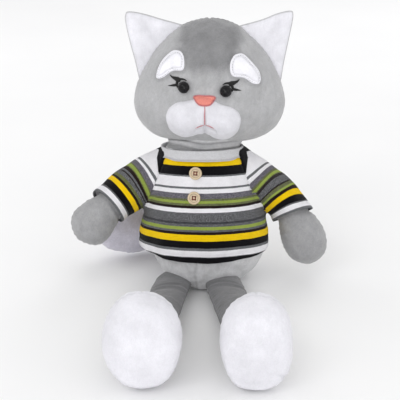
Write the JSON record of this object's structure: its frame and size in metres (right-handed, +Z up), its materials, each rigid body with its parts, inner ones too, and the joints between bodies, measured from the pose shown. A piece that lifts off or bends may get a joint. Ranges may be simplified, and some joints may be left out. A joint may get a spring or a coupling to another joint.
{
  "type": "plush cat",
  "caption": "Seated plush cat with a nodding, turning head, bendable ears, arms that lift, legs, feet and a tail that swing, in a striped knitted pullover.",
  "frame": {"origin": "on the floor in the middle of the flat seat under the trunk", "axes": "+Z up, the cat faces -Y, +X is the cat's own left"},
  "size_m": [0.2357, 0.2931, 0.2452],
  "materials": {
    "grey_plush": "short-pile plush, dense and matt with a soft sheen",
    "dark_grey_plush": "short-pile plush, dark grey, matt",
    "white_plush": "short-pile plush, white with a faint lavender tint",
    "lilac_grey_plush": "short-pile plush, pale lilac grey",
    "striped_knit": "fine jersey knit with horizontal yarn stripes in black, white, greys, olive and yellow",
    "collar_rib": "smooth single jersey band, light heather grey",
    "button_wood": "satin turned wood",
    "button_thread": "twisted sewing thread, red brown",
    "eye_gloss": "polished black",
    "washer_nylon": "moulded nylon",
    "nose_embroidery": "satin-stitched embroidery, coral pink",
    "mouth_thread": "embroidered line, dusty pink",
    "lash_thread": "satin-stitched embroidery, black",
    "polyester_fibre": "lofty hollow polyester fibre",
    "pellets": "woven bag filled with small plastic beads"
  },
  "bodies": {
    "torso": {"body_skin": "grey_plush", "pellet_bag": "pellets", "body_stuffing": "polyester_fibre", "pullover_front": "striped_knit", "pullover_back": "striped_knit", "pullover_collar": "collar_rib", "button_upper": "button_wood", "button_upper_thread": "button_thread", "button_lower": "button_wood", "button_lower_thread": "button_thread"},
    "neck": {"neck_skin": "grey_plush", "neck_stuffing": "polyester_fibre"},
    "head": {"head_skin": "grey_plush", "head_stuffing": "polyester_fibre", "eye_left": "eye_gloss", "eye_right": "eye_gloss", "eye_washer_left": "washer_nylon", "eye_washer_right": "washer_nylon", "muzzle": "white_plush", "nose": "nose_embroidery", "mouth": "mouth_thread", "brow_left": "white_plush", "brow_right": "white_plush", "lashes_left": "lash_thread", "lashes_right": "lash_thread"},
    "ear_left": {"ear_front_left": "white_plush", "ear_back_left": "grey_plush"},
    "ear_right": {"ear_front_right": "white_plush", "ear_back_right": "grey_plush"},
    "arm_left": {"arm_skin_left": "grey_plush", "arm_stuffing_left": "polyester_fibre", "sleeve_left": "striped_knit"},
    "arm_right": {"arm_skin_right": "grey_plush", "arm_stuffing_right": "polyester_fibre", "sleeve_right": "striped_knit"},
    "leg_left": {"leg_skin_left": "dark_grey_plush", "leg_stuffing_left": "polyester_fibre"},
    "leg_right": {"leg_skin_right": "dark_grey_plush", "leg_stuffing_right": "polyester_fibre"},
    "foot_left": {"foot_skin_left": "white_plush", "foot_stuffing_left": "polyester_fibre"},
    "foot_right": {"foot_skin_right": "white_plush", "foot_stuffing_right": "polyester_fibre"},
    "tail": {"tail_skin": "lilac_grey_plush", "tail_stuffing": "polyester_fibre"}
  },
  "joints": [
    {"name": "neck_nod", "type": "hinge", "parent": "torso", "child": "neck", "pos_m": [0.002, 0.0254, 0.1193], "axis": [1, 0, 0], "range_deg": [-14, 8], "stiffness_Nm_per_rad": 0.35},
    {"name": "head_turn", "type": "hinge", "parent": "neck", "child": "head", "pos_m": [0.002, 0.0254, 0.1193], "axis": [0, 0, 1], "range_deg": [-40, 40], "stiffness_Nm_per_rad": 0.08},
    {"name": "ear_bend_left", "type": "hinge", "parent": "head", "child": "ear_left", "pos_m": [0.0542, 0.036, 0.20605], "axis": [0.5967, 0, -0.8024], "range_deg": [-24, 16], "stiffness_Nm_per_rad": 0.012},
    {"name": "ear_bend_right", "type": "hinge", "parent": "head", "child": "ear_right", "pos_m": [-0.0356, 0.036, 0.20705], "axis": [0.6008, 0, 0.7994], "range_deg": [-24, 16], "stiffness_Nm_per_rad": 0.012},
    {"name": "arm_raise_left", "type": "hinge", "parent": "torso", "child": "arm_left", "pos_m": [0.0455, 0.02, 0.097], "axis": [0, -1, 0], "range_deg": [-5, 50]},
    {"name": "arm_raise_right", "type": "hinge", "parent": "torso", "child": "arm_right", "pos_m": [-0.041, 0.02, 0.097], "axis": [0, 1, 0], "range_deg": [-5, 38]},
    {"name": "leg_raise_left", "type": "hinge", "parent": "torso", "child": "leg_left", "pos_m": [0.02, -0.025, 0.013], "axis": [-1, 0, 0], "range_deg": [-28, 18]},
    {"name": "leg_raise_right", "type": "hinge", "parent": "torso", "child": "leg_right", "pos_m": [-0.0235, -0.025, 0.013], "axis": [-1, 0, 0], "range_deg": [-28, 18]},
    {"name": "foot_tip_left", "type": "hinge", "parent": "leg_left", "child": "foot_left", "pos_m": [0.041, -0.169, 0.019], "axis": [1, 0, 0], "range_deg": [-18, 18]},
    {"name": "foot_tip_right", "type": "hinge", "parent": "leg_right", "child": "foot_right", "pos_m": [-0.044, -0.169, 0.019], "axis": [1, 0, 0], "range_deg": [-18, 18]},
    {"name": "tail_swing", "type": "hinge", "parent": "torso", "child": "tail", "pos_m": [-0.008, 0.043, 0.017], "axis": [0, 0, -1], "range_deg": [-4, 31]}
  ]
}
